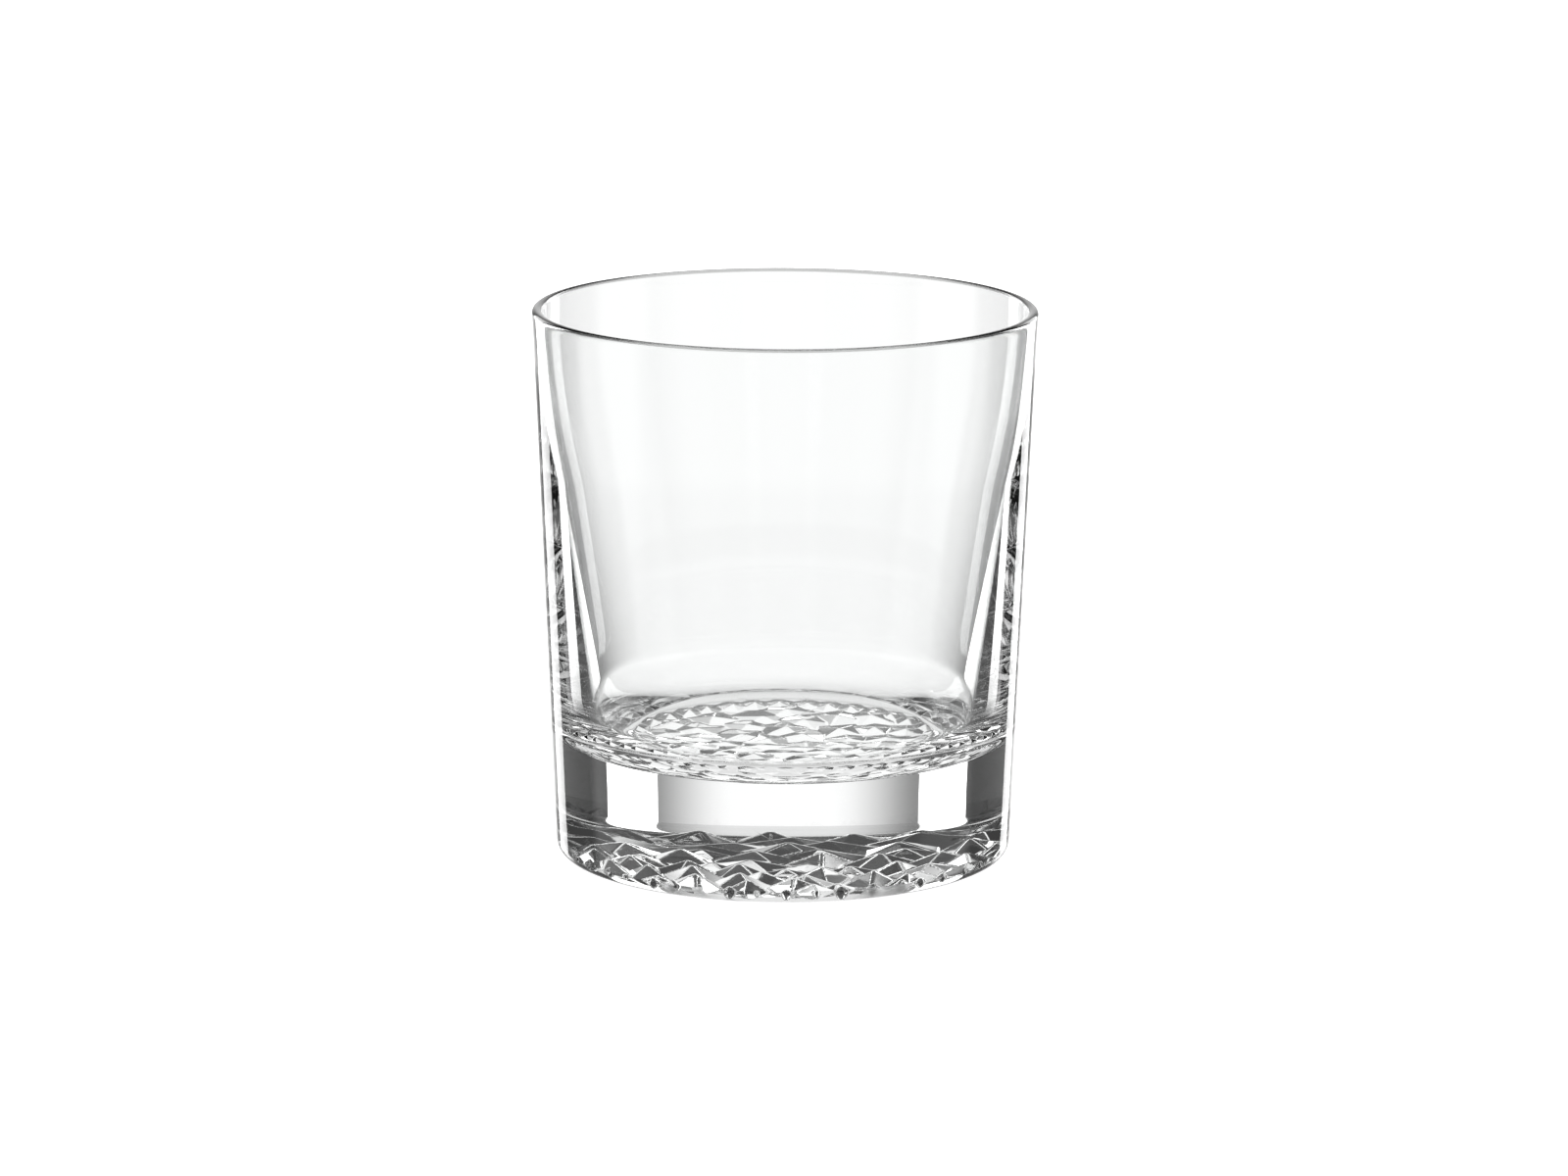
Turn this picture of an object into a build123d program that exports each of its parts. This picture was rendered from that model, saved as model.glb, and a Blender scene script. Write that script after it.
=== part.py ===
"""Whiskey tumbler with a heavy base and a faceted underside.

The real glass is one continuous casting. It is drawn here as its two regions, which
meet face to face in the plane of the bowl's floor: the tapered side wall with its lip
and its inner cove, and the solid base with the pressed relief under it. Millimetres,
+Z up, origin at the centre of the circle that the glass stands on.
"""
from build123d import *
import math
import os

os.makedirs("parts", exist_ok=True)

# Overall shape
overall_height = 91.0
foot_radius = 37.4          # where the straight taper of the outside meets the ground plane
shoulder_radius = 41.1      # outside, just under the bead of the lip
shoulder_height = 86.0
lip_radius = 41.35          # widest point, on the bead
lip_bead_height = 90.15
foot_corner_radius = 2.4

# Bowl
floor_height = 18.4
floor_radius = 25.4         # flat part of the floor, inside the crease of the cove
cove_top_radius = 32.5      # the rounded corner between the floor and the wall ends here
cove_top_height = 26.4
swell_radius = 37.9         # the inner wall is a straight cone up to here, and then rounds
swell_height = 65.0         # over until it runs almost upright into the lip
lip_inner_radius = 39.65

# Pressed relief of the underside
rest_ring_inner_radius = 34.2
rim_cell_count = 44         # one row of cells along the resting ring
rim_cell_reach = 3.1
field_cell_pitch = 3.7      # spiral constant; neighbouring cells lie about twice this apart
field_radius = 28.6
cell_reach = 5.2            # corner of an average cell from its middle, in the ground plane
cell_depth = 2.1
cell_tip_radius = 0.25
cell_skirt = 0.4            # how far the cutters reach below the ground plane
golden_angle = 180.0 * (3.0 - math.sqrt(5.0))


def uneven(index, salt):
    """A fixed, irregular number from 0 to 1 for each cell."""
    return (math.sin(index * 12.9898 + salt * 78.233) * 43758.5453) % 1.0


def relief_cells():
    """Middle, corner reach, depth, number of sides and turn of every pressed cell."""
    cells = []
    for index in range(rim_cell_count):
        turn = 360.0 * (index + 0.3 * uneven(index, 1)) / rim_cell_count
        middle = rest_ring_inner_radius - rim_cell_reach
        depth = cell_depth * (0.7 + 0.4 * uneven(index, 2))
        cells.append((middle, turn, rim_cell_reach, depth, 6, turn))
    field_count = int((field_radius / field_cell_pitch) ** 2)
    for index in range(field_count):
        middle = field_cell_pitch * math.sqrt(index + 0.5)
        turn = index * golden_angle + 9.0 * (uneven(index, 3) - 0.5)
        reach = cell_reach * (0.9 + 0.25 * uneven(index, 4))
        depth = cell_depth * (0.6 + 0.7 * uneven(index, 5))
        cells.append((middle, turn, reach, depth, 4 + index % 3, 90.0 * uneven(index, 6)))
    return cells


def relief_cutter(middle, turn, reach, depth, sides, spin):
    """One pyramid, point up, with its corners at `reach` in the ground plane."""
    x = middle * math.cos(math.radians(turn))
    y = middle * math.sin(math.radians(turn))
    x_dir = (math.cos(math.radians(spin)), math.sin(math.radians(spin)), 0)
    slope = (reach - cell_tip_radius) / depth
    with BuildPart() as cutter:
        with BuildSketch(Plane(origin=(x, y, -cell_skirt), x_dir=x_dir, z_dir=(0, 0, 1))):
            RegularPolygon(radius=reach + cell_skirt * slope, side_count=sides)
        with BuildSketch(Plane(origin=(x, y, depth), x_dir=x_dir, z_dir=(0, 0, 1))):
            RegularPolygon(radius=cell_tip_radius, side_count=sides)
        loft(ruled=True)
    return cutter.part


def outside_radius(height):
    """Radius of the straight outer taper at a height."""
    return foot_radius + (shoulder_radius - foot_radius) * height / shoulder_height


# Side wall: the outer taper, the rounded lip, the bowed inner face and the cove.
with BuildPart() as bowl_wall:
    with BuildSketch(Plane.XZ):
        with BuildLine():
            floor_edge = (floor_radius, floor_height)
            split_edge = (outside_radius(floor_height), floor_height)
            shoulder = (shoulder_radius, shoulder_height)
            bead = (lip_radius, lip_bead_height)
            inner_lip = (lip_inner_radius, lip_bead_height)
            swell = (swell_radius, swell_height)
            cove_top = (cove_top_radius, cove_top_height)
            Line(floor_edge, split_edge)
            Line(split_edge, shoulder)
            taper = (shoulder_radius - foot_radius, shoulder_height)
            TangentArc(shoulder, bead, tangent=taper)
            ThreePointArc(bead, ((lip_radius + lip_inner_radius) / 2, overall_height), inner_lip)
            cone = Line(swell, cove_top)
            TangentArc(swell, inner_lip, tangent=-(cone % 0))
            TangentArc(cove_top, floor_edge, tangent=cone % 1)
        make_face()
    revolve(axis=Axis.Z)
bowl_wall.part.label = "bowl_wall"
export_step(bowl_wall.part, "parts/bowl_wall.step")

# Base: a solid tapered disc with a rounded foot, pressed full of small pyramids below.
cutters = [relief_cutter(*cell) for cell in relief_cells()]
with BuildPart() as base:
    with BuildSketch(Plane.XZ):
        with BuildLine():
            Polyline(
                (0, 0),
                (foot_radius, 0),
                (outside_radius(floor_height), floor_height),
                (0, floor_height),
                close=True,
            )
        make_face()
    revolve(axis=Axis.Z)
    fillet(base.edges().sort_by(Axis.Z)[0], radius=foot_corner_radius)
    add(cutters, mode=Mode.SUBTRACT)
base.part.label = "base"
export_step(base.part, "parts/base.step")
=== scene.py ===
# %% [markdown]
# # A heavy-based whiskey tumbler
# A tumbler of clear pressed glass: a tapered bowl that thins towards a fire-polished lip,
# a solid base a fifth of its height, and a rock-like relief pressed into the underside.
# The model of the object gives the frame: every position below is read from it.

# %% The frame
import math

import bmesh
import bpy
import numpy as np
from mathutils import Matrix, Vector


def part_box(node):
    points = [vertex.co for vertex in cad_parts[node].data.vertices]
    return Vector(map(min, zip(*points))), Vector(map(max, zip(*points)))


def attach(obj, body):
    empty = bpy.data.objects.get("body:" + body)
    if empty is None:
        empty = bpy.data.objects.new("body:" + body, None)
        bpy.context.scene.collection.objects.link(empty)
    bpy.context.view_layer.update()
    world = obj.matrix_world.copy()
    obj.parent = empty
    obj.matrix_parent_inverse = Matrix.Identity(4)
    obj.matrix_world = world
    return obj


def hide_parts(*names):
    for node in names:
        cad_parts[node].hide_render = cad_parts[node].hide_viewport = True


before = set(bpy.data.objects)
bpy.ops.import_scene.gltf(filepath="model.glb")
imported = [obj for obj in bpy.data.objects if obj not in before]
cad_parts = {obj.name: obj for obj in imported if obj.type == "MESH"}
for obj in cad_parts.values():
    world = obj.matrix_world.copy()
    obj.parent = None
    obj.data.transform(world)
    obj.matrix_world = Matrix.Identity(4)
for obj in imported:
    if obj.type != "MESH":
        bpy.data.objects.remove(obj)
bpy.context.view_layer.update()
wall_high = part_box("bowl_wall")[1]
base_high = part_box("base")[1]

# %% Sizes read from the frame, in metres
MM = 0.001
overall_height = wall_high.z
lip_radius = wall_high.x
floor_height = base_high.z
print("height", overall_height, "lip radius", lip_radius, "floor of the bowl", floor_height)

# %% [markdown]
# ## The outline of the glass
# Everything but the underside is a body of revolution, so one outline in (radius, height)
# describes it. It could be drawn as a curve and spun with a Screw modifier. Here the points
# are worked out in code, because the underside needs its own grid and both have to share
# one ring of vertices for the glass to be a single closed skin. Refraction shows every
# hard joint, so arcs and tangent curves are sampled finely.

# %% Curve helpers for the outline


def points_on_arc(start, middle, end, count):
    """Points on the circle through three points, from start to end."""
    (ax, ay), (bx, by), (cx, cy) = start, middle, end
    d = 2.0 * (ax * (by - cy) + bx * (cy - ay) + cx * (ay - by))
    aa, bb, cc = ax * ax + ay * ay, bx * bx + by * by, cx * cx + cy * cy
    ux = (aa * (by - cy) + bb * (cy - ay) + cc * (ay - by)) / d
    uy = (aa * (cx - bx) + bb * (ax - cx) + cc * (bx - ax)) / d
    radius = math.hypot(ax - ux, ay - uy)
    first = math.atan2(ay - uy, ax - ux)
    halfway = (math.atan2(by - uy, bx - ux) - first) % math.tau
    sweep = (math.atan2(cy - uy, cx - ux) - first) % math.tau
    if halfway > sweep:
        sweep -= math.tau
    angles = [first + sweep * i / (count - 1) for i in range(count)]
    return [(ux + radius * math.cos(a), uy + radius * math.sin(a)) for a in angles]


def points_on_tangent_arc(start, leave, end, count):
    """Points on the arc that leaves start in a given direction and reaches end."""
    p, q, away = Vector(start), Vector(end), Vector(leave).normalized()
    chord = q - p
    bulge = away - chord * (away.dot(chord) / chord.length_squared)
    rise = 0.5 * chord.length * math.tan(0.5 * away.angle(chord))
    middle = 0.5 * (p + q) + bulge.normalized() * rise
    return points_on_arc(start, tuple(middle), end, count)


def points_on_line(start, end, count):
    """Evenly spaced points on a straight line."""
    p, q = Vector(start), Vector(end)
    return [tuple(p.lerp(q, i / (count - 1))) for i in range(count)]


# %% The outline's driving sizes, in millimetres
foot_radius = 37.4
foot_corner = 2.4
shoulder = (41.1, 86.0)
lip_bead_height = 90.15
lip_inner_radius = 39.65
lip_outer = (lip_radius / MM, lip_bead_height)
lip_inner = (lip_inner_radius, lip_bead_height)
lip_top = (0.5 * (lip_outer[0] + lip_inner[0]), overall_height / MM)
swell = (37.9, 65.0)
cove_top = (32.5, 26.4)
floor_edge = (25.4, floor_height / MM)
taper = Vector((shoulder[0] - foot_radius, shoulder[1])).normalized()
print("outside taper", round(math.degrees(math.atan2(taper.x, taper.y)), 2), "degrees")

# %% The rounded corner of the foot
ring_inner_radius = 34.2
corner_centre = foot_radius - foot_corner * (1 - taper.x) / taper.y


def foot_point(angle):
    """A point on the rounded corner of the foot, at an angle below the horizontal."""
    x = corner_centre + foot_corner * math.cos(angle)
    return (x, foot_corner - foot_corner * math.sin(angle))


flat_end = (corner_centre, 0.0)
bend_middle = foot_point(math.radians(46.0))
side_start = foot_point(math.asin(taper.x))

# %% The outline, from the resting ring over the lip to the floor of the bowl
points_in = {"foot": 14, "side": 18, "bead": 9, "lip": 21, "throat": 24, "cone": 16, "cove": 26}
floor_insets = (0.3, 0.8, 2.0)
foot_bend = points_on_arc(flat_end, bend_middle, side_start, points_in["foot"])
side = points_on_line(side_start, shoulder, points_in["side"])
bead = points_on_tangent_arc(shoulder, taper, lip_outer, points_in["bead"])
lip = points_on_arc(lip_outer, lip_top, lip_inner, points_in["lip"])
cone_down = Vector(cove_top) - Vector(swell)
throat = points_on_tangent_arc(swell, -cone_down, lip_inner, points_in["throat"])[::-1]
cone = points_on_line(swell, cove_top, points_in["cone"])
cove = points_on_tangent_arc(cove_top, cone_down, floor_edge, points_in["cove"])
floor_start = [(floor_edge[0] - inset, floor_edge[1]) for inset in floor_insets]
outline = foot_bend + side[1:] + bead[1:] + lip[1:] + throat[1:] + cone[1:] + cove[1:] + floor_start
print(len(outline), "points in the outline")

# %% [markdown]
# ## The pressed underside
# The mould leaves shallow pyramids that point up into the glass: one row along the resting
# ring and, inside it, cells of uneven size on a golden-angle spiral, which never lines up
# into rows. The relief could be cut with booleans, but a height for every grid point keeps
# one clean skin, and a soft maximum rounds the ridges the way fire rounds pressed glass.

# %% Sizes of the cells, in millimetres, and how unevenly they are cut
rim_cell_count = 44
rim_cell_reach = 3.1
field_cell_pitch = 3.7
field_radius = 28.6
cell_reach = 5.2
cell_depth = 2.1
cell_tip_radius = 0.25
rim_shift = 0.3
rim_depths = (0.7, 1.1)
field_wander = 9.0
field_reaches = (0.9, 1.15)
field_depths = (0.6, 1.3)
fewest_sides = 4
golden_angle = 180.0 * (3.0 - math.sqrt(5.0))


def uneven(index, salt):
    """A fixed, irregular number from 0 to 1: a large sine keeps only its scattered last digits."""
    return (math.sin(index * 12.9898 + salt * 78.233) * 43758.5453) % 1.0


def uneven_between(limits, index, salt):
    """A fixed, irregular number between two limits."""
    low, high = limits
    return low + (high - low) * uneven(index, salt)


# %% Where the cells are


def relief_cells():
    """Middle, corner reach, depth, number of sides and turn of every pressed cell."""
    cells = []
    for index in range(rim_cell_count):
        turn = 360.0 * (index + rim_shift * uneven(index, 1)) / rim_cell_count
        middle = ring_inner_radius - rim_cell_reach
        depth = cell_depth * uneven_between(rim_depths, index, 2)
        cells.append((middle, turn, rim_cell_reach, depth, 6, turn))
    for index in range(int((field_radius / field_cell_pitch) ** 2)):
        middle = field_cell_pitch * math.sqrt(index + 0.5)
        turn = index * golden_angle + field_wander * (uneven(index, 3) - 0.5)
        reach = cell_reach * uneven_between(field_reaches, index, 4)
        depth = cell_depth * uneven_between(field_depths, index, 5)
        sides = fewest_sides + index % 3
        cells.append((middle, turn, reach, depth, sides, 90.0 * uneven(index, 6)))
    return cells


cells = relief_cells()
print(len(cells), "pressed cells")

# %% Height of the relief at any point
ridge_softness = 0.05


def relief_height(x, y):
    """Height of the underside above the ground, for arrays of x and y, all in millimetres."""
    total = np.ones_like(x)
    for middle, turn, reach, depth, sides, spin in cells:
        dx = x - middle * math.cos(math.radians(turn))
        dy = y - middle * math.sin(math.radians(turn))
        across = np.full_like(x, -np.inf)
        for side_index in range(sides):
            facing = math.radians(spin + 360.0 * (side_index + 0.5) / sides)
            across = np.maximum(across, dx * math.cos(facing) + dy * math.sin(facing))
        flat = math.cos(math.pi / sides)
        rise = depth * (reach * flat - across) / ((reach - cell_tip_radius) * flat)
        total += np.exp(np.minimum(rise, depth) / ridge_softness)
    return ridge_softness * np.log(total)


# %% [markdown]
# ## One closed skin of glass
# Rings of vertices are stacked from the middle of the underside, out to the foot, up the
# side, over the lip and down to the middle of the bowl. A ring may have twice or half as
# many vertices as the one before it, so that the small facets get a fine grid and the plain
# walls a lighter one. A closed skin matters: light has to enter and leave the glass once
# for each surface that it meets.

# %% Rings and the faces between them
wall_count = 256
relief_count = 1024


def ring_points(radius, height, count):
    """Vertices of one ring, in millimetres."""
    angles = np.arange(count) * math.tau / count
    x, y = radius * np.cos(angles), radius * np.sin(angles)
    z = relief_height(x, y) if height is None else np.full(count, height)
    return np.stack([x, y, z], axis=1)


def faces_between(first, first_count, second, second_count):
    """Faces joining two rings; first and second are their starting vertex numbers."""
    faces = []
    if first_count == second_count:
        for i in range(first_count):
            j = (i + 1) % first_count
            faces.append((first + i, first + j, second + j, second + i))
        return faces
    fine, coarse = (first, second) if first_count > second_count else (second, first)
    coarse_count = min(first_count, second_count)
    for i in range(coarse_count):
        a, b, c = (fine + (2 * i + k) % (2 * coarse_count) for k in range(3))
        p, q = coarse + i, coarse + (i + 1) % coarse_count
        faces += [(a, b, p), (b, q, p), (b, c, q)]
    return faces


# %% Rings of the underside
first_radius = 0.5
relief_step = 0.28
smallest_gap = 0.1
halving_radii = (25.0, 12.5, 6.3, 3.2, 1.6)


def relief_rings():
    """Radius and vertex count of the rings of the underside, from the middle outwards."""
    rings, radius = [], first_radius
    while radius < ring_inner_radius - smallest_gap:
        halvings = sum(radius < limit for limit in halving_radii)
        rings.append((radius, None, relief_count >> halvings))
        radius += relief_step
    return rings


# %% All rings, in three stretches: the underside, the outline and the floor of the bowl
flat_insets = (0.0, 0.15, 0.4)
floor_radii = (12.0, 6.0, 3.0)
floor_z = outline[-1][1]
rings = relief_rings()
pressed_total = len(rings)
for halvings, inset in enumerate(flat_insets):
    rings.append((ring_inner_radius + inset, 0.0, relief_count >> halvings))
outline_start = len(rings)
rings += [(radius, height, wall_count) for radius, height in outline]
for halvings, radius in enumerate(floor_radii, start=1):
    rings.append((radius, floor_z, wall_count >> halvings))
print(len(rings), "rings,", sum(count for _, _, count in rings), "vertices")

# %% Which finish each band has
# The crest and the resting ring get a grey tint further on: painted shade that stands in for their
# dark lines.
polished_slot, pressed_slot, scuffed_painted_shade_slot, crest_painted_shade_slot = range(4)
crest_margin = 3
foot_end = outline_start + len(foot_bend) - 1
lip_start = foot_end + len(side[1:]) + len(bead[1:])
lip_end = lip_start + len(lip[1:])
crest = range(lip_start + crest_margin, lip_end - crest_margin)


def slot_of(ring):
    """Finish of the band between a ring and the next."""
    if ring < pressed_total:
        return pressed_slot
    if ring < foot_end:
        return scuffed_painted_shade_slot
    return crest_painted_shade_slot if ring in crest else polished_slot


print("foot ends at ring", foot_end, "and the crest is", crest)

# %% Build the skin


def glass_points():
    """Every vertex, from the middle of the underside to the middle of the floor of the bowl."""
    middle_height = relief_height(np.zeros(1), np.zeros(1))[0]
    points = [np.array([[0.0, 0.0, middle_height]])]
    points += [ring_points(radius, height, count) for radius, height, count in rings]
    points.append(np.array([[0.0, 0.0, floor_z]]))
    return np.concatenate(points) * MM


def glass_faces():
    """Every face with the slot of its finish, band by band between the two middles."""
    counts = [count for _, _, count in rings]
    starts = [1 + sum(counts[:ring]) for ring in range(len(rings))]
    faces = [(0, 1 + (i + 1) % counts[0], 1 + i) for i in range(counts[0])]
    slots = [pressed_slot] * len(faces)
    for ring in range(len(rings) - 1):
        band = faces_between(starts[ring], counts[ring], starts[ring + 1], counts[ring + 1])
        faces += band
        slots += [slot_of(ring)] * len(band)
    end, last = starts[-1], counts[-1]
    faces += [(end + last, end + i, end + (i + 1) % last) for i in range(last)]
    slots += [polished_slot] * last
    return faces, slots


def build_glass():
    """The whole glass as one closed mesh, with its finishes as slots."""
    faces, slots = glass_faces()
    mesh = bpy.data.meshes.new("tumbler_glass")
    mesh.from_pydata([tuple(point) for point in glass_points()], [], faces)
    mesh.polygons.foreach_set("material_index", slots)
    mesh.polygons.foreach_set("use_smooth", [True] * len(faces))
    mesh.update()
    return bpy.data.objects.new("tumbler_glass", mesh)


glass = build_glass()
bpy.context.scene.collection.objects.link(glass)
print(len(glass.data.polygons), "faces")

# %% Turn every face outwards


def make_normals_point_out(piece):
    """Turns every face of a closed mesh outwards, and prints its volume and open edges."""
    work = bmesh.new()
    work.from_mesh(piece.data)
    bmesh.ops.recalc_face_normals(work, faces=work.faces)
    loose = sum(not edge.is_manifold for edge in work.edges)
    volume = work.calc_volume(signed=True) / (10.0 * MM) ** 3
    print(piece.name, "volume", round(volume, 1), "cm3,", loose, "open edges")
    work.to_mesh(piece.data)
    work.free()


make_normals_point_out(glass)

# %% [markdown]
# ## Finishes of the glass
# Four finishes of one colourless glass: the polished bowl and outside, the pressed facets,
# which keep a little of the mould's ripple, the resting ring, scuffed by use, and the crest
# of the lip, rounded by fire. A real crest and foot draw a thin dark line, because they bend
# the dark things in a room into it. The painted room below has too few of them, so the glass
# of both gets a grey tint in their place: painted shade, which also shows from above, as a
# thin grey ring.
# Each is a Principled shader with full transmission. What they share, the slow ripple left
# by the mould and the fine scratches, is a node group each, placed with its own strength.

# %% Node helpers


def add_node(tree, kind, inputs=(), **settings):
    """A node with its settings, its inputs taken from values or from other nodes' sockets."""
    node = tree.nodes.new(kind)
    for name, value in settings.items():
        setattr(node, name, value)
    for key, value in dict(inputs).items():
        if isinstance(value, bpy.types.NodeSocket):
            tree.links.new(value, node.inputs[key])
        else:
            node.inputs[key].default_value = value
    return node


def math_node(tree, operation, *values):
    """The output socket of a Math node."""
    return add_node(tree, "ShaderNodeMath", dict(enumerate(values)), operation=operation).outputs[0]


def new_group(name, inputs, outputs):
    """An empty shader node group with float sockets, and its two ends."""
    group = bpy.data.node_groups.new(name, "ShaderNodeTree")
    for socket, default in inputs.items():
        made = group.interface.new_socket(socket, in_out="INPUT", socket_type="NodeSocketFloat")
        made.default_value = default
    for socket in outputs:
        group.interface.new_socket(socket, in_out="OUTPUT", socket_type="NodeSocketFloat")
    start = group.nodes.new("NodeGroupInput")
    end = group.nodes.new("NodeGroupOutput")
    return group, start, end


# %% The mould's ripple


def ripple_group():
    """Slow unevenness of a pressed surface, as a height in metres."""
    group, start, end = new_group("Mould ripple", {"Wavelength": 0.009, "Depth": 1e-6}, ["Height"])
    place = add_node(group, "ShaderNodeTexCoord").outputs["Object"]
    scale = math_node(group, "DIVIDE", 1.0, start.outputs["Wavelength"])
    noise = add_node(group, "ShaderNodeTexNoise", {"Vector": place, "Scale": scale, "Detail": 1.5})
    level = math_node(group, "SUBTRACT", noise.outputs[0], 0.5)
    height = math_node(group, "MULTIPLY", level, start.outputs["Depth"])
    group.links.new(height, end.inputs["Height"])
    return group


# %% The fine scratches: two patterns, each with its turns in degrees and its stretch
scratch_patterns = (
    ((35.0, 24.5, 66.5), (1.0, 1.0, 0.25)),
    ((-20.0, -14.0, -38.0), (0.35, 1.0, 1.0)),
)
patch_scale = 60.0
patch_limit = 0.58


def scratch_group():
    """Hairline scratches: thin edges of two stretched cell patterns. Mask from 0 to 1."""
    group, start, end = new_group("Hairline scratches", {"Spacing": 0.012, "Width": 0.006}, ["Mask"])
    place = add_node(group, "ShaderNodeTexCoord").outputs["Object"]
    scale = math_node(group, "DIVIDE", 1.0, start.outputs["Spacing"])
    masks = []
    for turns, stretch in scratch_patterns:
        rotation = tuple(math.radians(turn) for turn in turns)
        mapping = {"Vector": place, "Rotation": rotation, "Scale": stretch}
        turned = add_node(group, "ShaderNodeMapping", mapping).outputs[0]
        pattern = {"Vector": turned, "Scale": scale}
        cell = add_node(group, "ShaderNodeTexVoronoi", pattern, feature="DISTANCE_TO_EDGE")
        thin = math_node(group, "LESS_THAN", cell.outputs["Distance"], start.outputs["Width"])
        patches = add_node(group, "ShaderNodeTexNoise", {"Vector": turned, "Scale": patch_scale})
        shown = math_node(group, "GREATER_THAN", patches.outputs[0], patch_limit)
        masks.append(math_node(group, "MULTIPLY", thin, shown))
    both = math_node(group, "MAXIMUM", masks[0], masks[1])
    group.links.new(both, end.inputs["Mask"])
    return group


ripple = ripple_group()
scratches = scratch_group()
print([group.name for group in (ripple, scratches)])

# %% One function for the four finishes
glass_ior = 1.52
red_share = 0.994
blue_share = 0.998


def glass_finish(name, wavelength, depth, smooth, rough, scratch_width, clear=1.0):
    """Glass with its own ripple, roughness and scratches; below 1, clear tints it grey as painted
    shade.
    """
    material = bpy.data.materials.new(name)
    material.use_nodes = True
    tree = material.node_tree
    tree.nodes.clear()
    # Below 1, clear greys the glass: a painted shade that stands in for a dark line bent in from the
    # room.
    colour = (red_share * clear, clear, blue_share * clear, 1.0)
    plain = {"Base Color": colour, "Metallic": 0.0, "IOR": glass_ior, "Transmission Weight": 1.0}
    shader = add_node(tree, "ShaderNodeBsdfPrincipled", plain)
    wave = add_node(tree, "ShaderNodeGroup", node_tree=ripple)
    wave.inputs["Wavelength"].default_value = wavelength
    wave.inputs["Depth"].default_value = depth
    hair = add_node(tree, "ShaderNodeGroup", node_tree=scratches)
    hair.inputs["Width"].default_value = scratch_width
    scratched = {"Value": hair.outputs["Mask"], "To Min": smooth, "To Max": rough}
    roughness = add_node(tree, "ShaderNodeMapRange", scratched)
    bump = add_node(tree, "ShaderNodeBump", {"Height": wave.outputs["Height"], "Distance": 1.0})
    tree.links.new(roughness.outputs[0], shader.inputs["Roughness"])
    tree.links.new(bump.outputs[0], shader.inputs["Normal"])
    add_node(tree, "ShaderNodeOutputMaterial", {"Surface": shader.outputs[0]})
    return material


# %% The four finishes, in the order of their slots
polished = glass_finish(
    "polished_glass", wavelength=0.014, depth=4e-6, smooth=0.0, rough=0.12, scratch_width=0.004
)
pressed = glass_finish(
    "pressed_glass", wavelength=0.004, depth=8e-6, smooth=0.01, rough=0.15, scratch_width=0.004
)
# The resting ring: real scuffs in its roughness, and a grey tint that is painted shade for the
# foot's dark line.
scuffed_painted_shade = glass_finish(
    "scuffed_painted_shade_ring",
    wavelength=0.003,
    depth=6e-6,
    smooth=0.06,
    rough=0.4,
    scratch_width=0.03,
    clear=0.6,
)
# The crest of the lip: fire-polished, with a grey tint that is painted shade for its dark line.
fire_polished_painted_shade = glass_finish(
    "fire_polished_painted_shade_lip",
    wavelength=0.010,
    depth=3e-6,
    smooth=0.0,
    rough=0.08,
    scratch_width=0.002,
    clear=0.36,
)
for finish in (polished, pressed, scuffed_painted_shade, fire_polished_painted_shade):
    glass.data.materials.append(finish)
print([finish.name for finish in glass.data.materials])

# %% The glass stands for both bodies of the frame
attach(glass, "root")
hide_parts("bowl_wall", "base")

# %% [markdown]
# ## The studio
# Clear glass has no colour of its own: its look is the room, bent. A tumbler is shown with
# bright-field lighting. A pale backdrop that fades to the sides stands behind it, a tall
# softbox at each side of the backdrop draws the white lines along the walls, and black
# flags outside them draw the dark ones. They could be separate cards, or the world's colour
# by direction. Here they are painted on one tent around the glass: the lines in a wall and
# in the base come from the same softbox seen from places a few centimetres apart, so the
# room has to stand at a real distance. Behind the camera the tent is pale, so that the glass
# stays clear from the back as well. The camera looks through the tent and sees plain white.

# %% The tent
tent_radius = 0.8


def build_tent():
    """A sphere around the glass, with the room painted on its inside."""
    columns, rows = 96, 48
    points = [(0.0, 0.0, -tent_radius)]
    for row in range(1, rows):
        tilt = math.pi * (row / rows - 0.5)
        radius, height = tent_radius * math.cos(tilt), tent_radius * math.sin(tilt)
        for column in range(columns):
            turn = math.tau * column / columns
            points.append((radius * math.cos(turn), radius * math.sin(turn), height))
    points.append((0.0, 0.0, tent_radius))
    faces = [(0, 1 + (i + 1) % columns, 1 + i) for i in range(columns)]
    for row in range(rows - 2):
        faces += faces_between(1 + row * columns, columns, 1 + (row + 1) * columns, columns)
    top = len(points) - 1
    faces += [(top, top - columns + i, top - columns + (i + 1) % columns) for i in range(columns)]
    mesh = bpy.data.meshes.new("studio_tent")
    mesh.from_pydata(points, [], faces)
    mesh.update()
    return bpy.data.objects.new("studio_tent", mesh)


tent = build_tent()
bpy.context.scene.collection.objects.link(tent)
tent.location.z = 0.5 * overall_height
tent.visible_camera = False
tent.visible_diffuse = False
tent.visible_shadow = False
print("tent of", len(tent.data.polygons), "faces")

# %% Where a ray meets the tent: azimuth and elevation, in degrees
cloth = bpy.data.materials.new("painted_tent")
cloth.use_nodes = True
cloth.cycles.emission_sampling = "NONE"
tent.data.materials.append(cloth)
sky = cloth.node_tree
sky.nodes.clear()
spot = add_node(sky, "ShaderNodeTexCoord").outputs["Object"]
direction = add_node(sky, "ShaderNodeVectorMath", {0: spot}, operation="NORMALIZE").outputs[0]
parts = add_node(sky, "ShaderNodeSeparateXYZ", {0: direction}).outputs
to_degrees = 180.0 / math.pi
azimuth = math_node(sky, "MULTIPLY", math_node(sky, "ARCTAN2", parts[0], parts[1]), to_degrees)
elevation = math_node(sky, "MULTIPLY", math_node(sky, "ARCSINE", parts[2]), to_degrees)

# %% Soft-edged parts of the room


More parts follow.
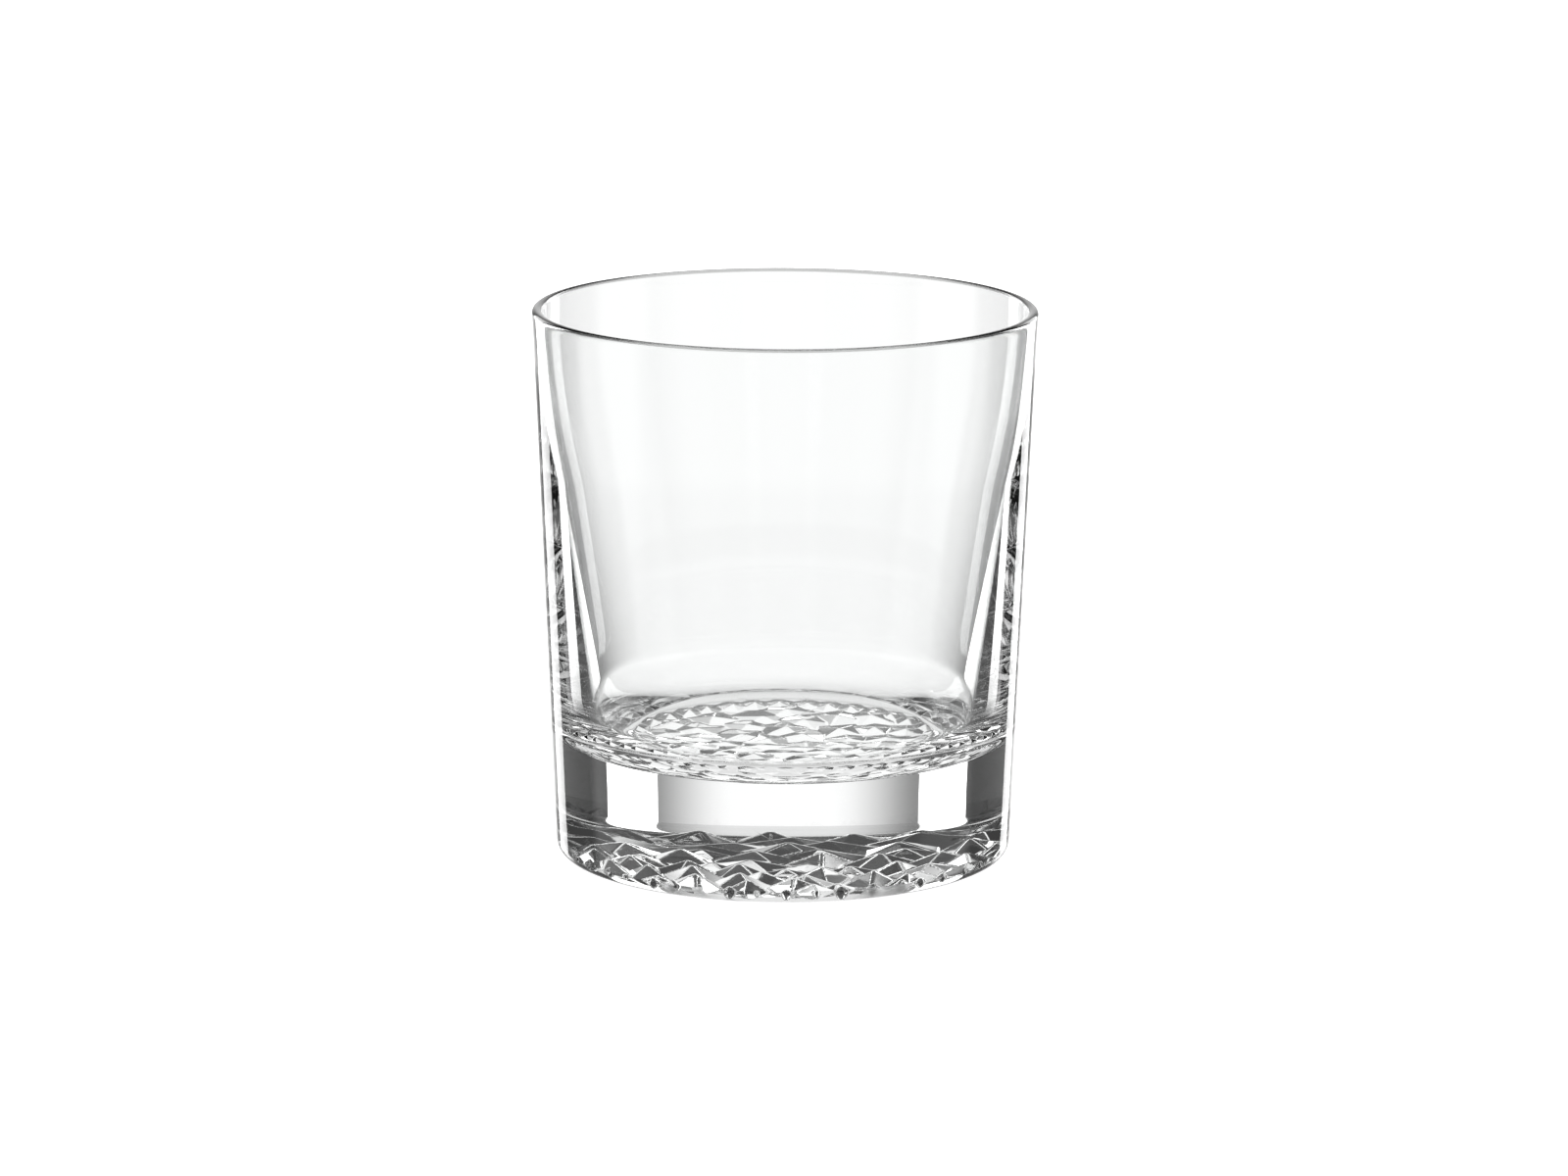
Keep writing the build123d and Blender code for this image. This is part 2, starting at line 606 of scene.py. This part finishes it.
def soft_step(value, start, end, low=0.0, high=1.0):
    """Goes smoothly from low to high as value goes from start to end."""
    inputs = {"Value": value, "From Min": start, "From Max": end, "To Min": low, "To Max": high}
    node = add_node(sky, "ShaderNodeMapRange", inputs, interpolation_type="SMOOTHSTEP")
    return node.outputs[0]


def between(value, low, high, edge):
    """A mask that is 1 from low to high, with soft edges."""
    rising = soft_step(value, low - edge, low + edge)
    falling = soft_step(value, high - edge, high + edge, 1.0, 0.0)
    return math_node(sky, "MULTIPLY", rising, falling)


def put(under, mask, level):
    """A part of the room at a level of its own, laid over what is under it."""
    inputs = {"Factor": mask, "A": under, "B": level}
    return add_node(sky, "ShaderNodeMix", inputs, data_type="FLOAT").outputs[0]


# %% Backdrop, softboxes, side panels and dark studio, by azimuth
# A side panel is given by its middle, half its width, its soft edge and its level.
dark_level = 0.035
softbox_level = 2.8
softbox_edge = 0.15
softboxes = [(-39.2, -24.4), (22.0, 36.3)]
side_panels = [(-92.0, 19.0, 5.0, 0.95), (92.0, 17.0, 5.0, 0.8)]
fill_level = 0.75
fill_fade = (92.0, 135.0)
backdrop_fade = (7.0, 25.0)
backdrop_levels = (1.03, 0.24)
aside = math_node(sky, "ABSOLUTE", azimuth)
backdrop = soft_step(aside, *backdrop_fade, *backdrop_levels)
walls = put(dark_level, between(azimuth, softboxes[0][1], softboxes[1][0], softbox_edge), backdrop)
walls = put(walls, soft_step(aside, *fill_fade), fill_level)
for middle, half, edge, level in side_panels:
    walls = put(walls, between(azimuth, middle - half, middle + half, edge), level)
for low, high in softboxes:
    walls = put(walls, between(azimuth, low, high, softbox_edge), softbox_level)

# %% The lit table below, darker straight under the glass in a painted shadow, with black cards standing on it at both sides
# A fade is given by the two angles, in degrees, where it starts and ends.
card_level = 0.12
card_fade = (10.0, 32.0)
card_top = (-58.0, -42.0)
table_painted_shadow_fade = (-80.0, -45.0)
table_painted_shadow_levels = (0.8, 1.1)
near_fade = (0.2, 1.4)
near_level = 0.4
flattest = 0.05
# Straight down the table is dimmer: a painted shadow of the glass on the table under it.
lit = soft_step(elevation, *table_painted_shadow_fade, *table_painted_shadow_levels)
cards = soft_step(aside, *card_fade, 1.0, card_level)
table = math_node(sky, "MULTIPLY", lit, soft_step(elevation, *card_top, 1.0, cards))

# %% The near half of the table, dimmed towards its front edge
# Nearness is how far a ray goes towards the camera for each metre that it goes down.
below = math_node(sky, "MAXIMUM", math_node(sky, "MULTIPLY", parts[2], -1.0), flattest)
nearness = math_node(sky, "DIVIDE", math_node(sky, "MULTIPLY", parts[1], -1.0), below)
table = math_node(sky, "MULTIPLY", table, soft_step(nearness, *near_fade, 1.0, near_level))

# %% Table, walls and dark ceiling, one above the other
table_edge = (-30.0, -24.0)
ceiling_edge = (18.0, 32.0)
ceiling_level = 0.05
room = put(table, soft_step(elevation, *table_edge), walls)
room = put(room, soft_step(elevation, *ceiling_edge), ceiling_level)
glow = add_node(sky, "ShaderNodeEmission", {"Color": room, "Strength": 1.0})
add_node(sky, "ShaderNodeOutputMaterial", {"Surface": glow.outputs[0]})
print("tent painted with", len(sky.nodes), "nodes")

# %% Beyond the tent everything is plain white
white = (1.0, 1.0, 1.0, 1.0)
world_level = 1.05
world = bpy.data.worlds.new("plain_white")
bpy.context.scene.world = world
world.use_nodes = True
world.cycles.sampling_method = "NONE"
background = world.node_tree.nodes["Background"]
background.inputs["Color"].default_value = white
background.inputs["Strength"].default_value = world_level
print("world level", world_level)

# %% [markdown]
# ## The floor
# A pale glowing sheet, like the lit acrylic of a product table. It leaves no shadow round
# the glass. The glass itself looks past it into the room, as it would on a clear shelf.

# %% Floor
floor_radius = 40.0 * overall_height
floor_gap = 0.05 * MM


def build_floor():
    """A wide pale disc, with its rings closer together near the tumbler."""
    count, ring_total = 96, 12
    points = [(0.0, 0.0, 0.0)]
    for ring in range(1, ring_total + 1):
        radius = floor_radius * (ring / ring_total) ** 2
        for i in range(count):
            angle = math.tau * i / count
            points.append((radius * math.cos(angle), radius * math.sin(angle), 0.0))
    faces = [(0, 1 + i, 1 + (i + 1) % count) for i in range(count)]
    for ring in range(ring_total - 1):
        faces += faces_between(1 + ring * count, count, 1 + (ring + 1) * count, count)
    mesh = bpy.data.meshes.new("studio_floor")
    mesh.from_pydata(points, [], faces)
    mesh.update()
    return bpy.data.objects.new("studio_floor", mesh)


floor = build_floor()
bpy.context.scene.collection.objects.link(floor)
floor.location.z = -floor_gap
floor.visible_transmission = False
floor.visible_glossy = False
print("floor", round(2.0 * floor_radius, 2), "m across")

# %% Lit acrylic
acrylic_glow = 0.96
acrylic = bpy.data.materials.new("lit_acrylic")
acrylic.use_nodes = True
acrylic_shader = acrylic.node_tree.nodes["Principled BSDF"]
acrylic_shader.inputs["Base Color"].default_value = (0.9, 0.9, 0.9, 1.0)
acrylic_shader.inputs["Roughness"].default_value = 0.6
acrylic_shader.inputs["Emission Color"].default_value = white
acrylic_shader.inputs["Emission Strength"].default_value = acrylic_glow
floor.data.materials.append(acrylic)
print(acrylic.name, "glows at", acrylic_glow)

# %% [markdown]
# ## The camera and the way the picture is made
# A long lens from a little above the lip, so that the lip and the floor of the bowl read as
# slim ellipses. Many transmission bounces are kept, because a path through the facets of a
# thick base may meet a surface more than ten times before it leaves.

# %% Camera
camera_distance = 1.062
camera_height = 0.267
camera_down = 11.85
camera_roll = 0.24
lens_length = 151.4
sensor_width = 36.0
camera_data = bpy.data.cameras.new("product_camera")
camera_data.sensor_width = sensor_width
camera_data.lens = lens_length
camera = bpy.data.objects.new("product_camera", camera_data)
bpy.context.scene.collection.objects.link(camera)
place = Matrix.Translation((0.0, -camera_distance, camera_height))
tilt = Matrix.Rotation(math.radians(90.0 - camera_down), 4, "X")
roll = Matrix.Rotation(math.radians(camera_roll), 4, "Z")
camera.matrix_world = place @ tilt @ roll
bpy.context.scene.camera = camera
print("camera", camera_distance, "m away and", camera_height, "m up")

# %% Light paths and tone
bounces_through = 32
bounces_off = 16
scene = bpy.context.scene
scene.view_settings.view_transform = "Standard"
scene.cycles.max_bounces = bounces_through
scene.cycles.transmission_bounces = bounces_through
scene.cycles.glossy_bounces = bounces_off
scene.cycles.caustics_reflective = False
scene.cycles.caustics_refractive = False
scene.cycles.blur_glossy = 0.0
scene.cycles.use_denoising = True
print("up to", bounces_through, "bounces through the glass")
